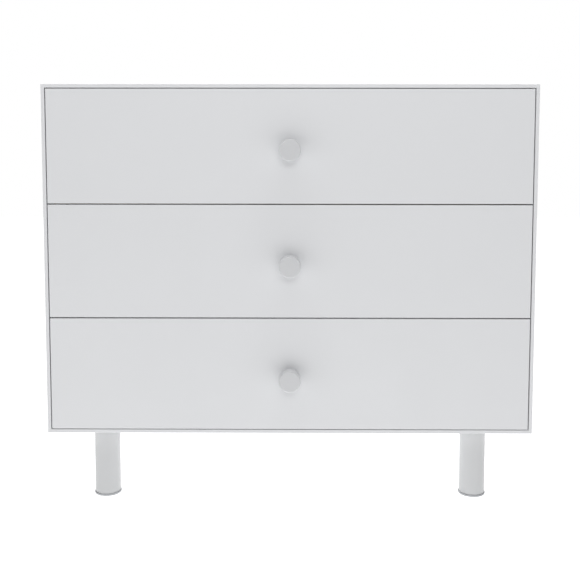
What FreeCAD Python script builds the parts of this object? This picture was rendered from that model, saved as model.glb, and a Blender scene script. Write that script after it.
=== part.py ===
"""A three-drawer changing table: a thin-edged lacquered case on four round legs, with round knobs.

The case is four mitred panels around a screwed back. Each drawer is a finger-jointed box behind an applied
front, and it rides on a pair of three-part telescopic runners. Millimetres, +Z up, the front faces -Y. The
origin is on the floor, under the middle of the whole footprint, knobs included.
"""
import FreeCAD, Part
import Sketcher

import os
import re

# --- driving dimensions ---------------------------------------------------------------------------------

DIMENSIONS = [
    ("case_width", 1048, "outside width of the case"),
    ("case_height", 750, "outside height of the case, without its legs"),
    ("case_depth", 520, "outside depth of the case, without the knobs"),
    ("panel_thick", 18, "board of the case"),
    ("lip_thick", 7.4, "thin front lip left around the drawer fronts"),
    ("mitre_spline", 4, "thickness of the spline in each mitred corner"),
    ("spline_width", 13, "width of that spline, half in each board"),
    ("front_thick", 18, "board of the drawer fronts"),
    ("front_round", 0.8, "rounding of the drawer fronts' front edges"),
    ("seat_gap", 1, "air between a closed front and the case behind it"),
    ("gap_side", 2, "gap beside a drawer front"),
    ("gap_top", 1.8, "gap above the top front"),
    ("gap_bottom", 1.5, "gap below the bottom front"),
    ("gap_between", 2.5, "gap between two fronts"),
    ("back_thick", 5, "back board"),
    ("back_recess", 3, "how far the back board sits inside the case's back edge"),
    ("back_lap", 9, "how far the back board laps each case panel"),
    ("rail_height", 18, "thickness of the rails across the case"),
    ("rail_depth", 70, "depth of the two front rails"),
    ("back_rail_height", 80, "height of the upright rail at the top of the back"),
    ("dowel_dia", 8, "dowels of the rails"),
    ("dowel_length", 40, "dowels of the rails"),
    ("dowel_skin", 6, "wood left between a dowel and the outside of the case"),
    ("dowel_edge", 15, "from the edge of a rail to a dowel's axis"),
    ("strap_spacing", 700, "distance between the two wall-strap holes"),
    ("strap_hole_dia", 4, "wall-strap holes"),
    ("strap_hole_depth", 14, "wall-strap holes, into the back rail"),
    ("leg_dia", 55.6, "legs"),
    ("leg_length", 148, "legs, without their glides"),
    ("leg_edge", 1, "chamfer at both ends of a leg"),
    ("leg_inset_side", 118, "from the case's side to a leg's axis"),
    ("leg_inset_front", 53, "from the case's front or back to a leg's axis"),
    ("leg_bolt_dia", 8, "hanger bolt that holds a leg"),
    ("leg_bolt_short", 1, "from the top of the insert down to the end of that bolt"),
    ("leg_bolt_down", 36, "part of that bolt in the leg"),
    ("insert_dia", 12, "threaded insert in the bottom panel"),
    ("insert_skin", 3, "wood left above that insert"),
    ("glide_lip", 1.5, "how far a floor glide stands out round its leg"),
    ("glide_thick", 4, "floor glide under a leg"),
    ("glide_edge", 0.6, "chamfer round a floor glide"),
    ("glide_pin_dia", 6, "pin of a floor glide, pressed into the leg"),
    ("glide_pin_length", 14, "pin of a floor glide"),
    ("knob_dia", 46, "face of a knob"),
    ("knob_base_dia", 32, "foot of a knob, on the drawer front"),
    ("knob_reach", 38, "how far a knob stands out"),
    ("knob_rim", 26, "straight rim of a knob, behind its face"),
    ("knob_round", 3, "rounding of a knob's rim"),
    ("knob_bolt_dia", 4, "bolt of a knob"),
    ("knob_bolt_bite", 16, "part of that bolt in the knob"),
    ("knob_drop", 7, "from the middle of a drawer front down to its knob"),
    ("runner_space", 12.7, "space for a runner at each side of a drawer"),
    ("runner_height", 45, "case member of a runner"),
    ("runner_tail", 23, "air between a runner and the back rail"),
    ("runner_setback", 2, "from the seat of the front to the end of a runner"),
    ("runner_flange", 9.5, "depth of the case member"),
    ("steel_thick", 1.2, "sheet steel of the runners"),
    ("ball_space", 2.5, "room for the balls between two members"),
    ("member_gap", 1, "air between one member and the screws or the web of the next"),
    ("runner_screw_length", 10, "screws of the runners"),
    ("runner_screw_inset", 35, "from the end of a runner to its first screw"),
    ("box_thick", 12, "boards of a drawer box"),
    ("box_head", 43, "from the top of a box to the upper edge of its front"),
    ("box_tail", 21, "air between a box and the back rail"),
    ("box_rise", 18, "from the lower edge of a front to its box"),
    ("base_thick", 6, "bottom board of a drawer"),
    ("base_rise", 10, "from the underside of a box to its bottom board"),
    ("groove_depth", 6, "groove that holds the bottom board"),
    ("front_screw_length", 25, "screws that hold a front to its box"),
    ("front_screw_inset", 100, "from the side of a box to those screws"),
    ("front_screw_edge", 40, "from the upper and lower edge of a box to those screws"),
    ("back_screw_length", 17, "screws of the back board"),
    ("screw_dia", 3.5, "wood screws"),
    ("screw_head_dia", 7, "pan head of a wood screw"),
    ("screw_head_thick", 2, "pan head of a wood screw"),
    ("fit_gap", 0.1, "clearance around pins, bolts and screws"),
    ("board_gap", 0.5, "clearance at the edge of a board in a groove or rabbet"),
]

DRAWERS = ("top", "middle", "bottom")
FINGERS = 9
BACK_SCREWS_ACROSS = 5
BACK_SCREWS_UP = 3
SIDES = (("left", -1), ("right", 1))

doc = FreeCAD.newDocument("ChangingTable")
sheet = doc.addObject("Spreadsheet::Sheet", "Dims")
for row, (alias, value, note) in enumerate(DIMENSIONS, start=1):
    sheet.set(f"A{row}", note)
    sheet.set(f"B{row}", str(value))
    sheet.setAlias(f"B{row}", alias)
doc.recompute()

ALIAS = re.compile(r"\b(" + "|".join(alias for alias, _, _ in DIMENSIONS) + r")\b")

# --- places worked out from those dimensions ------------------------------------------------------------

FRONT_Y = "((knob_reach - case_depth) / 2)"
BACK_Y = f"({FRONT_Y} + case_depth)"
CASE_Z = "(glide_thick + leg_length)"
TOP_Z = f"({CASE_Z} + case_height)"
SEAT_Y = f"({FRONT_Y} + front_thick + seat_gap)"
REBATE = "(front_thick + seat_gap)"
BACK_REBATE = "(back_recess + back_thick)"
INNER_WIDTH = "(case_width - 2 * panel_thick)"
FRONT_WIDTH = "(case_width - 2 * (lip_thick + gap_side))"
FRONT_HEIGHT = "((case_height - 2 * lip_thick - gap_top - gap_bottom - 2 * gap_between) / 3)"
BACK_FACE_Y = f"({BACK_Y} - back_recess)"
BACK_RAIL_Y = f"({BACK_FACE_Y} - back_thick - rail_height)"
BACK_RAIL_Z = f"({TOP_Z} - panel_thick - back_rail_height)"
DOWEL_SEAT = "(panel_thick - dowel_skin)"
BOX_WIDTH = f"({INNER_WIDTH} - 2 * runner_space)"
BOX_HEIGHT = f"({FRONT_HEIGHT} - box_rise - box_head)"
BOX_Y = f"({FRONT_Y} + front_thick)"
BOX_DEPTH = f"({BACK_RAIL_Y} - box_tail - {BOX_Y})"
FINGER = f"({BOX_HEIGHT} / {FINGERS})"
LEG_X = "(case_width / 2 - leg_inset_side)"
FRONT_LEG_Y = f"({FRONT_Y} + leg_inset_front)"
BACK_LEG_Y = f"({BACK_Y} - leg_inset_front)"
GLIDE_DIA = "(leg_dia + 2 * glide_lip)"
INSERT_LENGTH = "(panel_thick - insert_skin)"
BOLT_LENGTH = f"(leg_bolt_down + {INSERT_LENGTH} - leg_bolt_short)"
RUNNER_Y = f"({SEAT_Y} + runner_setback)"
RUNNER_LENGTH = f"({BACK_RAIL_Y} - runner_tail - {RUNNER_Y})"


def front_z(index):
    """Height of the lower edge of a drawer front. Index 0 is the top drawer."""
    below = len(DRAWERS) - 1 - index
    return f"({CASE_Z} + lip_thick + gap_bottom + {below} * ({FRONT_HEIGHT} + gap_between))"


def box_z(index):
    return f"({front_z(index)} + box_rise)"


def runner_z(index):
    """Height of the middle of a runner, halfway up the drawer box."""
    return f"({box_z(index)} + {BOX_HEIGHT} / 2)"


# --- small tools ----------------------------------------------------------------------------------------

AXES = {
    "+X": FreeCAD.Rotation(FreeCAD.Vector(0, 1, 0), 90),
    "-X": FreeCAD.Rotation(FreeCAD.Vector(0, 1, 0), -90),
    "+Y": FreeCAD.Rotation(FreeCAD.Vector(1, 0, 0), -90),
    "-Y": FreeCAD.Rotation(FreeCAD.Vector(1, 0, 0), 90),
    "+Z": FreeCAD.Rotation(),
    "-Z": FreeCAD.Rotation(FreeCAD.Vector(1, 0, 0), 180),
}
subparts = []


def bind(obj, prop, text):
    """Binds a property to an expression written with the sheet's aliases."""
    obj.setExpression(prop, ALIAS.sub(r"Dims.\1", str(text)))


def place(obj, at, axis="+Z"):
    """Puts an object at a point, each coordinate an expression, with its own Z turned to an axis."""
    obj.Placement = FreeCAD.Placement(FreeCAD.Vector(), AXES[axis])
    for letter, text in zip("xyz", at):
        bind(obj, f"Placement.Base.{letter}", text)
    return obj


def block(at, size):
    """A block from its lowest corner, with sides along X, Y and Z."""
    obj = doc.addObject("Part::Box", "Block")
    for prop, text in zip(("Length", "Width", "Height"), size):
        bind(obj, prop, text)
    return place(obj, at)


def rod(at, axis, dia, length):
    """A cylinder that starts at a point and runs along an axis."""
    obj = doc.addObject("Part::Cylinder", "Rod")
    bind(obj, "Radius", f"({dia}) / 2")
    bind(obj, "Height", length)
    return place(obj, at, axis)


def fuse(pieces):
    obj = doc.addObject("Part::MultiFuse", "Fuse")
    obj.Shapes = pieces
    return obj


def cut(base, tools):
    """The base without the tools."""
    obj = doc.addObject("Part::Cut", "Cut")
    obj.Base = base
    obj.Tool = tools[0] if len(tools) == 1 else fuse(tools)
    return obj


def group(pieces):
    """Separate solids that share one sub-part."""
    obj = doc.addObject("Part::Compound", "Group")
    obj.Links = pieces
    return obj


def subpart(label, obj):
    obj.Label = label
    subparts.append(obj)
    return obj


def origin_plane(body, role):
    return next(f for f in body.Origin.OriginFeatures if f.Role == role)


def outline(body, role, points, offset="0"):
    """A closed sketch through points, each held by two distances from the body's origin."""
    sketch = body.newObject("Sketcher::SketchObject", "Outline")
    sketch.AttachmentSupport = [(origin_plane(body, role), "")]
    sketch.MapMode = "FlatFace"
    bind(sketch, "AttachmentOffset.Base.z", offset)
    start = [FreeCAD.Vector(*corner, 0) for corner in ((0, 0), (40, 0), (50, 30), (30, 60), (-30, 50))]
    count = len(points)
    for i in range(count):
        sketch.addGeometry(Part.LineSegment(start[i], start[(i + 1) % count]), False)
    for i in range(count):
        sketch.addConstraint(Sketcher.Constraint("Coincident", i, 2, (i + 1) % count, 1))
    for i, pair in enumerate(points):
        for kind, letter, text in zip(("DistanceX", "DistanceY"), "uv", pair):
            number = sketch.addConstraint(Sketcher.Constraint(kind, -1, 1, i, 1, 10))
            sketch.renameConstraint(number, f"{letter}{i}")
            bind(sketch, f"Constraints.{letter}{i}", text)
    return sketch


def disc(body, role, dia, offset="0"):
    """A round sketch about the body's origin."""
    sketch = body.newObject("Sketcher::SketchObject", "Disc")
    sketch.AttachmentSupport = [(origin_plane(body, role), "")]
    sketch.MapMode = "FlatFace"
    bind(sketch, "AttachmentOffset.Base.z", offset)
    sketch.addGeometry(Part.Circle(FreeCAD.Vector(), FreeCAD.Vector(0, 0, 1), 10), False)
    sketch.addConstraint(Sketcher.Constraint("Coincident", 0, 3, -1, 1))
    number = sketch.addConstraint(Sketcher.Constraint("Diameter", 0, 20))
    sketch.renameConstraint(number, "dia")
    bind(sketch, "Constraints.dia", dia)
    return sketch


def pad(body, sketch, length, flip=False):
    feature = body.newObject("PartDesign::Pad", "Pad")
    feature.Profile = sketch
    feature.Reversed = flip
    bind(feature, "Length", length)
    return feature


def pocket(body, sketch, length):
    feature = body.newObject("PartDesign::Pocket", "Pocket")
    feature.Profile = sketch
    bind(feature, "Length", length)
    return feature


def dress(body, kind, base, size, wanted):
    """Chamfers or fillets the edges of a feature that the test wants."""
    doc.recompute()
    edges = [f"Edge{i}" for i, edge in enumerate(base.Shape.Edges, start=1) if wanted(edge)]
    feature = body.newObject(f"PartDesign::{kind}", kind)
    feature.Base = (base, edges)
    bind(feature, "Size" if kind == "Chamfer" else "Radius", size)
    return feature


def is_round(edge):
    return isinstance(edge.Curve, Part.Circle)


def opposite(axis):
    return ("-" if axis[0] == "+" else "+") + axis[1]


def screw(at, axis, length):
    """A pan-head wood screw. Its head rests on the point, and its shank runs along the axis."""
    shank = rod(at, axis, "screw_dia", length)
    return fuse([shank, rod(at, opposite(axis), "screw_head_dia", "screw_head_thick")])


def screw_hole(at, axis, length):
    return rod(at, axis, "screw_dia + 2 * fit_gap", f"{length} + fit_gap")


# --- the four mitred panels of the case -----------------------------------------------------------------
# Each is drawn lying flat with its outer face up, and is then turned about Y into its place.

PANELS = {
    "case_top": ("case_width", 0, ("0", FRONT_Y, TOP_Z)),
    "case_bottom": ("case_width", 180, ("0", FRONT_Y, CASE_Z)),
    "case_side_left": ("case_height", -90, ("-case_width / 2", FRONT_Y, f"{CASE_Z} + case_height / 2")),
    "case_side_right": ("case_height", 90, ("case_width / 2", FRONT_Y, f"{CASE_Z} + case_height / 2")),
}


def turn_panel(body, name):
    """Turns a flat body into a panel's place on the case."""
    _, angle, at = PANELS[name]
    place(body, at)
    body.Placement.Rotation = FreeCAD.Rotation(FreeCAD.Vector(0, 1, 0), angle)
    return body


def spline_outline(body, length, end):
    """The section of the spline in one mitred end, square across the mitre. End is -1 or 1."""
    along = "spline_width / sqrt(8)"
    across = "mitre_spline / sqrt(8)"
    points = []
    for a, b in ((-1, 1), (-1, -1), (1, -1), (1, 1)):
        u = f"{end} * ({length} / 2 - panel_thick / 2 + {a} * {along} + {b} * {across})"
        v = f"-panel_thick / 2 - {a} * {along} + {b} * {across}"
        points.append((u, v))
    return outline(body, "XZ_Plane", points, f"-{REBATE}")


def strip(body, length, top, offset):
    """A sketch of everything in a panel that lies deeper than one level."""
    low = "-2 * panel_thick"
    points = [(f"-{length}", low), (length, low), (length, top), (f"-{length}", top)]
    return outline(body, "XZ_Plane", points, offset)


SPLINE_RUN = f"case_depth - {REBATE} - {BACK_REBATE}"


def case_panel(name):
    length = PANELS[name][0]
    body = doc.addObject("PartDesign::Body", "Panel")
    half = f"{length} / 2"
    inner = f"{half} - panel_thick"
    flat = [(f"-({half})", "0"), (half, "0"), (inner, "-panel_thick"), (f"-({inner})", "-panel_thick")]
    pad(body, outline(body, "XZ_Plane", flat), "case_depth", flip=True)
    pocket(body, strip(body, length, "-lip_thick", "0"), REBATE)
    back_level = "-(panel_thick - back_lap - board_gap)"
    pocket(body, strip(body, length, back_level, f"-(case_depth - {BACK_REBATE})"), BACK_REBATE)
    for end in (-1, 1):
        pocket(body, spline_outline(body, length, end), SPLINE_RUN)
    return turn_panel(body, name)


def case_spline(name, end):
    body = doc.addObject("PartDesign::Body", "Spline")
    pad(body, spline_outline(body, PANELS[name][0], end), SPLINE_RUN, flip=True)
    return turn_panel(body, name)


# --- where the fasteners of the case go -----------------------------------------------------------------

BACK_SCREW_X = "case_width / 2 - panel_thick + back_lap / 2"
BACK_SCREW_LOW = f"{CASE_Z} + panel_thick - back_lap / 2"
BACK_SCREW_HIGH = f"{TOP_Z} - panel_thick + back_lap / 2"


def spread(count, k):
    """The place of one of a row of equally spaced fasteners, as a share of the row."""
    return f"(({k} + 0.5) / {count})"


across_x = [f"(case_width * ({spread(BACK_SCREWS_ACROSS, k)} - 0.5))" for k in range(BACK_SCREWS_ACROSS)]
up_z = [f"({CASE_Z} + case_height * {spread(BACK_SCREWS_UP, k)})" for k in range(BACK_SCREWS_UP)]
back_screws = {
    "case_top": [(x, BACK_FACE_Y, BACK_SCREW_HIGH) for x in across_x],
    "case_bottom": [(x, BACK_FACE_Y, BACK_SCREW_LOW) for x in across_x],
    "case_side_left": [(f"-({BACK_SCREW_X})", BACK_FACE_Y, z) for z in up_z],
    "case_side_right": [(BACK_SCREW_X, BACK_FACE_Y, z) for z in up_z],
}
strap_x = [f"{sign} * strap_spacing / 2" for _, sign in SIDES]
STRAP_Z = f"({BACK_RAIL_Z} + back_rail_height / 2)"

GAP_Z = {
    "upper": f"({front_z(0)} - gap_between / 2)",
    "lower": f"({front_z(1)} - gap_between / 2)",
}
dowel_spots = []
for gap_z in GAP_Z.values():
    dowel_spots.append((f"{SEAT_Y} + dowel_edge", gap_z))
    dowel_spots.append((f"{SEAT_Y} + rail_depth - dowel_edge", gap_z))
dowel_spots.append((f"{BACK_RAIL_Y} + rail_height / 2", f"{BACK_RAIL_Z} + dowel_edge"))
dowel_spots.append((f"{BACK_RAIL_Y} + rail_height / 2", f"{BACK_RAIL_Z} + back_rail_height - dowel_edge"))


def dowel(sign, spot, spare="0"):
    """A dowel through the joint between a side panel and a rail, or its hole with some spare room."""
    start = f"{sign} * (case_width / 2 - panel_thick + {DOWEL_SEAT} + {spare})"
    inward = "-X" if sign > 0 else "+X"
    return rod((start, *spot), inward, f"dowel_dia + 2 * {spare}", f"dowel_length + 2 * {spare}")


def dowel_holes(spots, signs=(-1, 1)):
    return [dowel(sign, spot, "fit_gap") for spot in spots for sign in signs]


runner_screw_y = [
    f"({RUNNER_Y} + runner_screw_inset)",
    f"({RUNNER_Y} + {RUNNER_LENGTH} / 2)",
    f"({RUNNER_Y} + {RUNNER_LENGTH} - runner_screw_inset)",
]


def runner_screws(index, sign, face, outward, make):
    """The screws, or their holes, of one runner member. Face is how far its web's near face is from x = 0."""
    axis = "+X" if sign * outward > 0 else "-X"
    places = [(f"{sign} * ({face})", y, runner_z(index)) for y in runner_screw_y]
    return [make(at, axis, "runner_screw_length") for at in places]


CASE_WEB = f"{INNER_WIDTH} / 2 - steel_thick"
DRAWER_WEB = f"{BOX_WIDTH} / 2 + steel_thick"

# --- case -----------------------------------------------------------------------------------------------

for name in PANELS:
    holes = [screw_hole(at, "-Y", "back_screw_length") for at in back_screws[name]]
    if name == "case_bottom":
        leg_y = (FRONT_LEG_Y, BACK_LEG_Y)
        spots = [(f"{sign} * {LEG_X}", y, CASE_Z) for _, sign in SIDES for y in leg_y]
        holes += [rod(at, "+Z", "insert_dia", INSERT_LENGTH) for at in spots]
    for side, sign in SIDES:
        if name == f"case_side_{side}":
            holes += dowel_holes(dowel_spots, [sign])
            for index in range(len(DRAWERS)):
                holes += runner_screws(index, sign, CASE_WEB, 1, screw_hole)
    subpart(name, cut(case_panel(name), holes))

splines = [case_spline(name, end) for name in ("case_top", "case_bottom") for end in (-1, 1)]
subpart("mitre_splines", group(splines))

back_edge = "(panel_thick - back_lap)"
back_board = block(
    (f"-(case_width / 2 - {back_edge})", f"{BACK_FACE_Y} - back_thick", f"{CASE_Z} + {back_edge}"),
    (f"case_width - 2 * {back_edge}", "back_thick", f"case_height - 2 * {back_edge}"),
)
all_back_screws = [at for places in back_screws.values() for at in places]
strap_holes = [rod((x, BACK_FACE_Y, STRAP_Z), "-Y", "strap_hole_dia", "back_thick") for x in strap_x]
back_holes = [screw_hole(at, "-Y", "back_screw_length") for at in all_back_screws]
subpart("back_panel", cut(back_board, back_holes + strap_holes))
subpart("back_screws", group([screw(at, "-Y", "back_screw_length") for at in all_back_screws]))

for level, (name, gap_z) in enumerate(GAP_Z.items()):
    rail = block(
        (f"-{INNER_WIDTH} / 2", SEAT_Y, f"{gap_z} - rail_height / 2"),
        (INNER_WIDTH, "rail_depth", "rail_height"),
    )
    subpart(f"front_rail_{name}", cut(rail, dowel_holes(dowel_spots[2 * level:2 * level + 2])))

back_rail = block(
    (f"-{INNER_WIDTH} / 2", BACK_RAIL_Y, BACK_RAIL_Z),
    (INNER_WIDTH, "rail_height", "back_rail_height"),
)
rail_face_y = f"{BACK_FACE_Y} - back_thick"
strap_pilots = [rod((x, rail_face_y, STRAP_Z), "-Y", "strap_hole_dia", "strap_hole_depth") for x in strap_x]
subpart("back_rail", cut(back_rail, dowel_holes(dowel_spots[4:]) + strap_pilots))
subpart("rail_dowels", group([dowel(sign, spot) for spot in dowel_spots for _, sign in SIDES]))

# --- legs -----------------------------------------------------------------------------------------------


def leg(x, y):
    """A plain turned leg, drilled for its bolt above and for the pin of its glide below."""
    body = doc.addObject("PartDesign::Body", "Leg")
    post = pad(body, disc(body, "XY_Plane", "leg_dia"), "leg_length")
    dress(body, "Chamfer", post, "leg_edge", is_round)
    place(body, (x, y, "glide_thick"))
    bolt_hole = rod((x, y, CASE_Z), "-Z", "leg_bolt_dia + 2 * fit_gap", "leg_bolt_down + fit_gap")
    pin_hole = rod((x, y, "glide_thick"), "+Z", "glide_pin_dia", "glide_pin_length")
    return cut(body, [bolt_hole, pin_hole])


def glide(x, y):
    body = doc.addObject("PartDesign::Body", "Glide")
    foot = pad(body, disc(body, "XY_Plane", GLIDE_DIA), "glide_thick")
    dress(body, "Chamfer", foot, "glide_edge", is_round)
    place(body, (x, y, "0"))
    return fuse([body, rod((x, y, "glide_thick"), "+Z", "glide_pin_dia", "glide_pin_length")])


bolts = []
inserts = []
for row, y in (("front", FRONT_LEG_Y), ("back", BACK_LEG_Y)):
    for side, sign in SIDES:
        x = f"{sign} * {LEG_X}"
        subpart(f"leg_{row}_{side}", leg(x, y))
        subpart(f"glide_{row}_{side}", glide(x, y))
        bolt_low = (x, y, f"{CASE_Z} - leg_bolt_down")
        bolts.append(rod(bolt_low, "+Z", "leg_bolt_dia", BOLT_LENGTH))
        joint = (x, y, CASE_Z)
        sleeve = rod(joint, "+Z", "insert_dia", INSERT_LENGTH)
        inserts.append(cut(sleeve, [rod(joint, "+Z", "leg_bolt_dia + 2 * fit_gap", INSERT_LENGTH)]))
subpart("leg_bolts", group(bolts))
subpart("leg_inserts", group(inserts))

# --- telescopic runners ---------------------------------------------------------------------------------
# Three channels nest in the space beside a box. Depths are measured inwards from the side panel. The case
# member and the middle member open towards the drawer, and the drawer member opens towards the case.

MIDDLE_NEAR = "(steel_thick + screw_head_thick + member_gap)"
MIDDLE_FAR = "(runner_space - steel_thick - member_gap)"
DRAWER_NEAR = f"({MIDDLE_NEAR} + steel_thick + member_gap)"
NEST = "2 * (steel_thick + ball_space)"


def channel(index, sign, near, far, web_at_near, height):
    """One channel of a runner, with its web at its near or its far depth."""
    low_x = f"({INNER_WIDTH} / 2 - {far})" if sign > 0 else f"(-{INNER_WIDTH} / 2 + {near})"
    low_z = f"{runner_z(index)} - ({height}) / 2"
    web_is_low = web_at_near == (sign < 0)
    hollow_x = f"{low_x} + steel_thick" if web_is_low else low_x
    outer = block((low_x, RUNNER_Y, low_z), (f"{far} - {near}", RUNNER_LENGTH, height))
    hollow = block(
        (hollow_x, RUNNER_Y, f"{low_z} + steel_thick"),
        (f"{far} - {near} - steel_thick", RUNNER_LENGTH, f"{height} - 2 * steel_thick"),
    )
    return cut(outer, [hollow])


MIDDLE_HEIGHT = f"runner_height - {NEST}"
DRAWER_HEIGHT = f"runner_height - 2 * {NEST}"
case_runner_screws = []
for index, name in enumerate(DRAWERS):
    members = []
    for _, sign in SIDES:
        member = channel(index, sign, "0", "runner_flange", True, "runner_height")
        members.append(cut(member, runner_screws(index, sign, CASE_WEB, 1, screw_hole)))
        case_runner_screws += runner_screws(index, sign, CASE_WEB, 1, screw)
    subpart(f"case_runners_{name}", group(members))
    middles = [channel(index, sign, MIDDLE_NEAR, MIDDLE_FAR, True, MIDDLE_HEIGHT) for _, sign in SIDES]
    subpart(f"middle_runners_{name}", group(middles))
subpart("case_runner_screws", group(case_runner_screws))

# --- drawers --------------------------------------------------------------------------------------------


def front_board(index):
    """A drawer front, with only its front edges softened."""
    body = doc.addObject("PartDesign::Body", "Front")
    low = f"-{FRONT_WIDTH} / 2"
    high = f"{FRONT_WIDTH} / 2"
    corners = [(low, "0"), (high, "0"), (high, FRONT_HEIGHT), (low, FRONT_HEIGHT)]
    board = pad(body, outline(body, "XZ_Plane", corners), "front_thick", flip=True)
    dress(body, "Fillet", board, "front_round", lambda edge: edge.BoundBox.YMax < edge.Length / 100)
    return place(body, ("0", FRONT_Y, front_z(index)))


def front_screws(index, make):
    """The four screws, or their holes, that pull a front against its box."""
    x = f"({BOX_WIDTH} / 2 - front_screw_inset)"
    y = f"{BOX_Y} + box_thick"
    heights = (f"{box_z(index)} + front_screw_edge", f"{box_z(index)} + {BOX_HEIGHT} - front_screw_edge")
    places = [(f"{sign} * {x}", y, z) for _, sign in SIDES for z in heights]
    return [make(at, "-Y", "front_screw_length") for at in places]


def knob_z(index):
    return f"({front_z(index)} + {FRONT_HEIGHT} / 2 - knob_drop)"


def knob_bolt(index, spare="0"):
    """The bolt through the box and the front into the knob, without its head, or its hole."""
    at = ("0", f"{BOX_Y} + box_thick", knob_z(index))
    length = f"box_thick + front_thick + knob_bolt_bite + {spare}"
    return rod(at, "-Y", f"knob_bolt_dia + 2 * {spare}", length)


def knob(index):
    """A turned knob: a cone from its foot to a straight rim, with a flat face."""
    body = doc.addObject("PartDesign::Body", "Knob")
    rim = "knob_dia / 2"
    side = [("knob_base_dia / 2", "0"), (rim, "knob_reach - knob_rim"), (rim, "knob_reach")]
    profile = [("0", "0"), *side, ("0", "knob_reach")]
    sketch = outline(body, "XZ_Plane", profile)
    turned = body.newObject("PartDesign::Revolution", "Turned")
    turned.Profile = sketch
    turned.ReferenceAxis = (sketch, ["V_Axis"])
    turned.Angle = 360
    doc.recompute()
    widest = max(edge.Curve.Radius for edge in turned.Shape.Edges if is_round(edge))
    dress(body, "Fillet", turned, "knob_round", lambda edge: is_round(edge) and edge.Curve.Radius == widest)
    place(body, ("0", FRONT_Y, knob_z(index)), "-Y")
    return cut(body, [knob_bolt(index, "fit_gap")])


def finger_slots(index, kind):
    """The notches at the corners of a box board: the sides keep the even fingers, the ends the odd ones."""
    first = 1 if kind == "side" else 0
    blocks = []
    for k in range(first, FINGERS, 2):
        z = f"{box_z(index)} + {k} * {FINGER}"
        for _, sign in SIDES:
            x = f"{sign} * ({BOX_WIDTH} - box_thick) / 2 - box_thick / 2"
            for y in (BOX_Y, f"{BOX_Y} + {BOX_DEPTH} - box_thick"):
                blocks.append(block((x, y, z), ("box_thick", "box_thick", FINGER)))
    return blocks


def base_board(index, edge):
    """The bottom board of a box, out to its grooves' ends less an edge."""
    inset = f"(box_thick - groove_depth + {edge})"
    at = (f"-{BOX_WIDTH} / 2 + {inset}", f"{BOX_Y} + {inset}", f"{box_z(index)} + base_rise")
    return block(at, (f"{BOX_WIDTH} - 2 * {inset}", f"{BOX_DEPTH} - 2 * {inset}", "base_thick"))


for index, name in enumerate(DRAWERS):
    prefix = f"{name}_drawer"
    bolt_hole = knob_bolt(index, "fit_gap")
    subpart(f"{prefix}_front", cut(front_board(index), front_screws(index, screw_hole) + [bolt_hole]))
    subpart(f"{prefix}_knob", knob(index))
    bolt_head = rod(
        ("0", f"{BOX_Y} + box_thick", knob_z(index)), "+Y", "2 * knob_bolt_dia", "screw_head_thick",
    )
    subpart(f"{prefix}_knob_bolt", fuse([knob_bolt(index), bolt_head]))
    for end, y in (("front", BOX_Y), ("back", f"{BOX_Y} + {BOX_DEPTH} - box_thick")):
        board = block((f"-{BOX_WIDTH} / 2", y, box_z(index)), (BOX_WIDTH, "box_thick", BOX_HEIGHT))
        tools = finger_slots(index, "end") + [base_board(index, "0")]
        if end == "front":
            tools += front_screws(index, screw_hole) + [bolt_hole]
        subpart(f"{prefix}_box_{end}", cut(board, tools))
    fasteners = front_screws(index, screw)
    members = []
    for side, sign in SIDES:
        low_x = f"{sign} * ({BOX_WIDTH} - box_thick) / 2 - box_thick / 2"
        board = block((low_x, BOX_Y, box_z(index)), ("box_thick", BOX_DEPTH, BOX_HEIGHT))
        holes = runner_screws(index, sign, DRAWER_WEB, -1, screw_hole)
        tools = finger_slots(index, "side") + [base_board(index, "0")] + holes
        subpart(f"{prefix}_side_{side}", cut(board, tools))
        member = channel(index, sign, DRAWER_NEAR, "runner_space", False, DRAWER_HEIGHT)
        members.append(cut(member, holes))
        fasteners += runner_screws(index, sign, DRAWER_WEB, -1, screw)
    subpart(f"{prefix}_base", base_board(index, "board_gap"))
    subpart(f"{prefix}_runners", group(members))
    subpart(f"{prefix}_screws", group(fasteners))

# --- checks and export ----------------------------------------------------------------------------------

doc.recompute()
for obj in doc.Objects:
    if any(state in ("Invalid", "Error") for state in obj.State):
        raise RuntimeError(f"{obj.Name} ({obj.Label}) did not compute: {obj.State}")
    if obj.TypeId == "PartDesign::Pocket" and obj.BaseFeature.Shape.Volume - obj.Shape.Volume <= 0:
        raise RuntimeError(f"{obj.Name} cuts nothing")
for obj in subparts:
    if obj.Shape.isNull() or not obj.Shape.isValid() or obj.Shape.Volume <= 0:
        raise RuntimeError(f"{obj.Label} has no valid shape")

os.makedirs("parts", exist_ok=True)
for obj in subparts:
    obj.Shape.exportStep(f"parts/{obj.Label}.step")
print(f"{len(subparts)} sub-parts written")
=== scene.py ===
"""The looks of a three-drawer changing table: lacquered case, round legs, ply drawers, steel runners."""
import math

import bmesh
import bpy
import numpy as np
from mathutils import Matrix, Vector


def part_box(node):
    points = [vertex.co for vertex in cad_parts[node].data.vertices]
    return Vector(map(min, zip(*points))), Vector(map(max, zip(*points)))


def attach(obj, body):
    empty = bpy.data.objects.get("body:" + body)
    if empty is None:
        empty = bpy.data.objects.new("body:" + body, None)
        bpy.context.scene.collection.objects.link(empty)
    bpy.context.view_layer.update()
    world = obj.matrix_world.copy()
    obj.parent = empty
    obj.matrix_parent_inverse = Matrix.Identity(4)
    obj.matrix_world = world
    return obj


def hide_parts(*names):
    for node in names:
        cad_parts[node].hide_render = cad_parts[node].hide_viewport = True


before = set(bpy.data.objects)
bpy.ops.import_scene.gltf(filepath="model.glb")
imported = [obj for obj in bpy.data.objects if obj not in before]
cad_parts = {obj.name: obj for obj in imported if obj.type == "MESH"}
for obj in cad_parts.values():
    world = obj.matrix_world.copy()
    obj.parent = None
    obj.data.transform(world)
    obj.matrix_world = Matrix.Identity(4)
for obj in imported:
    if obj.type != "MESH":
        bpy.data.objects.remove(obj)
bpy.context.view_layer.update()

scene = bpy.context.scene

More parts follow.
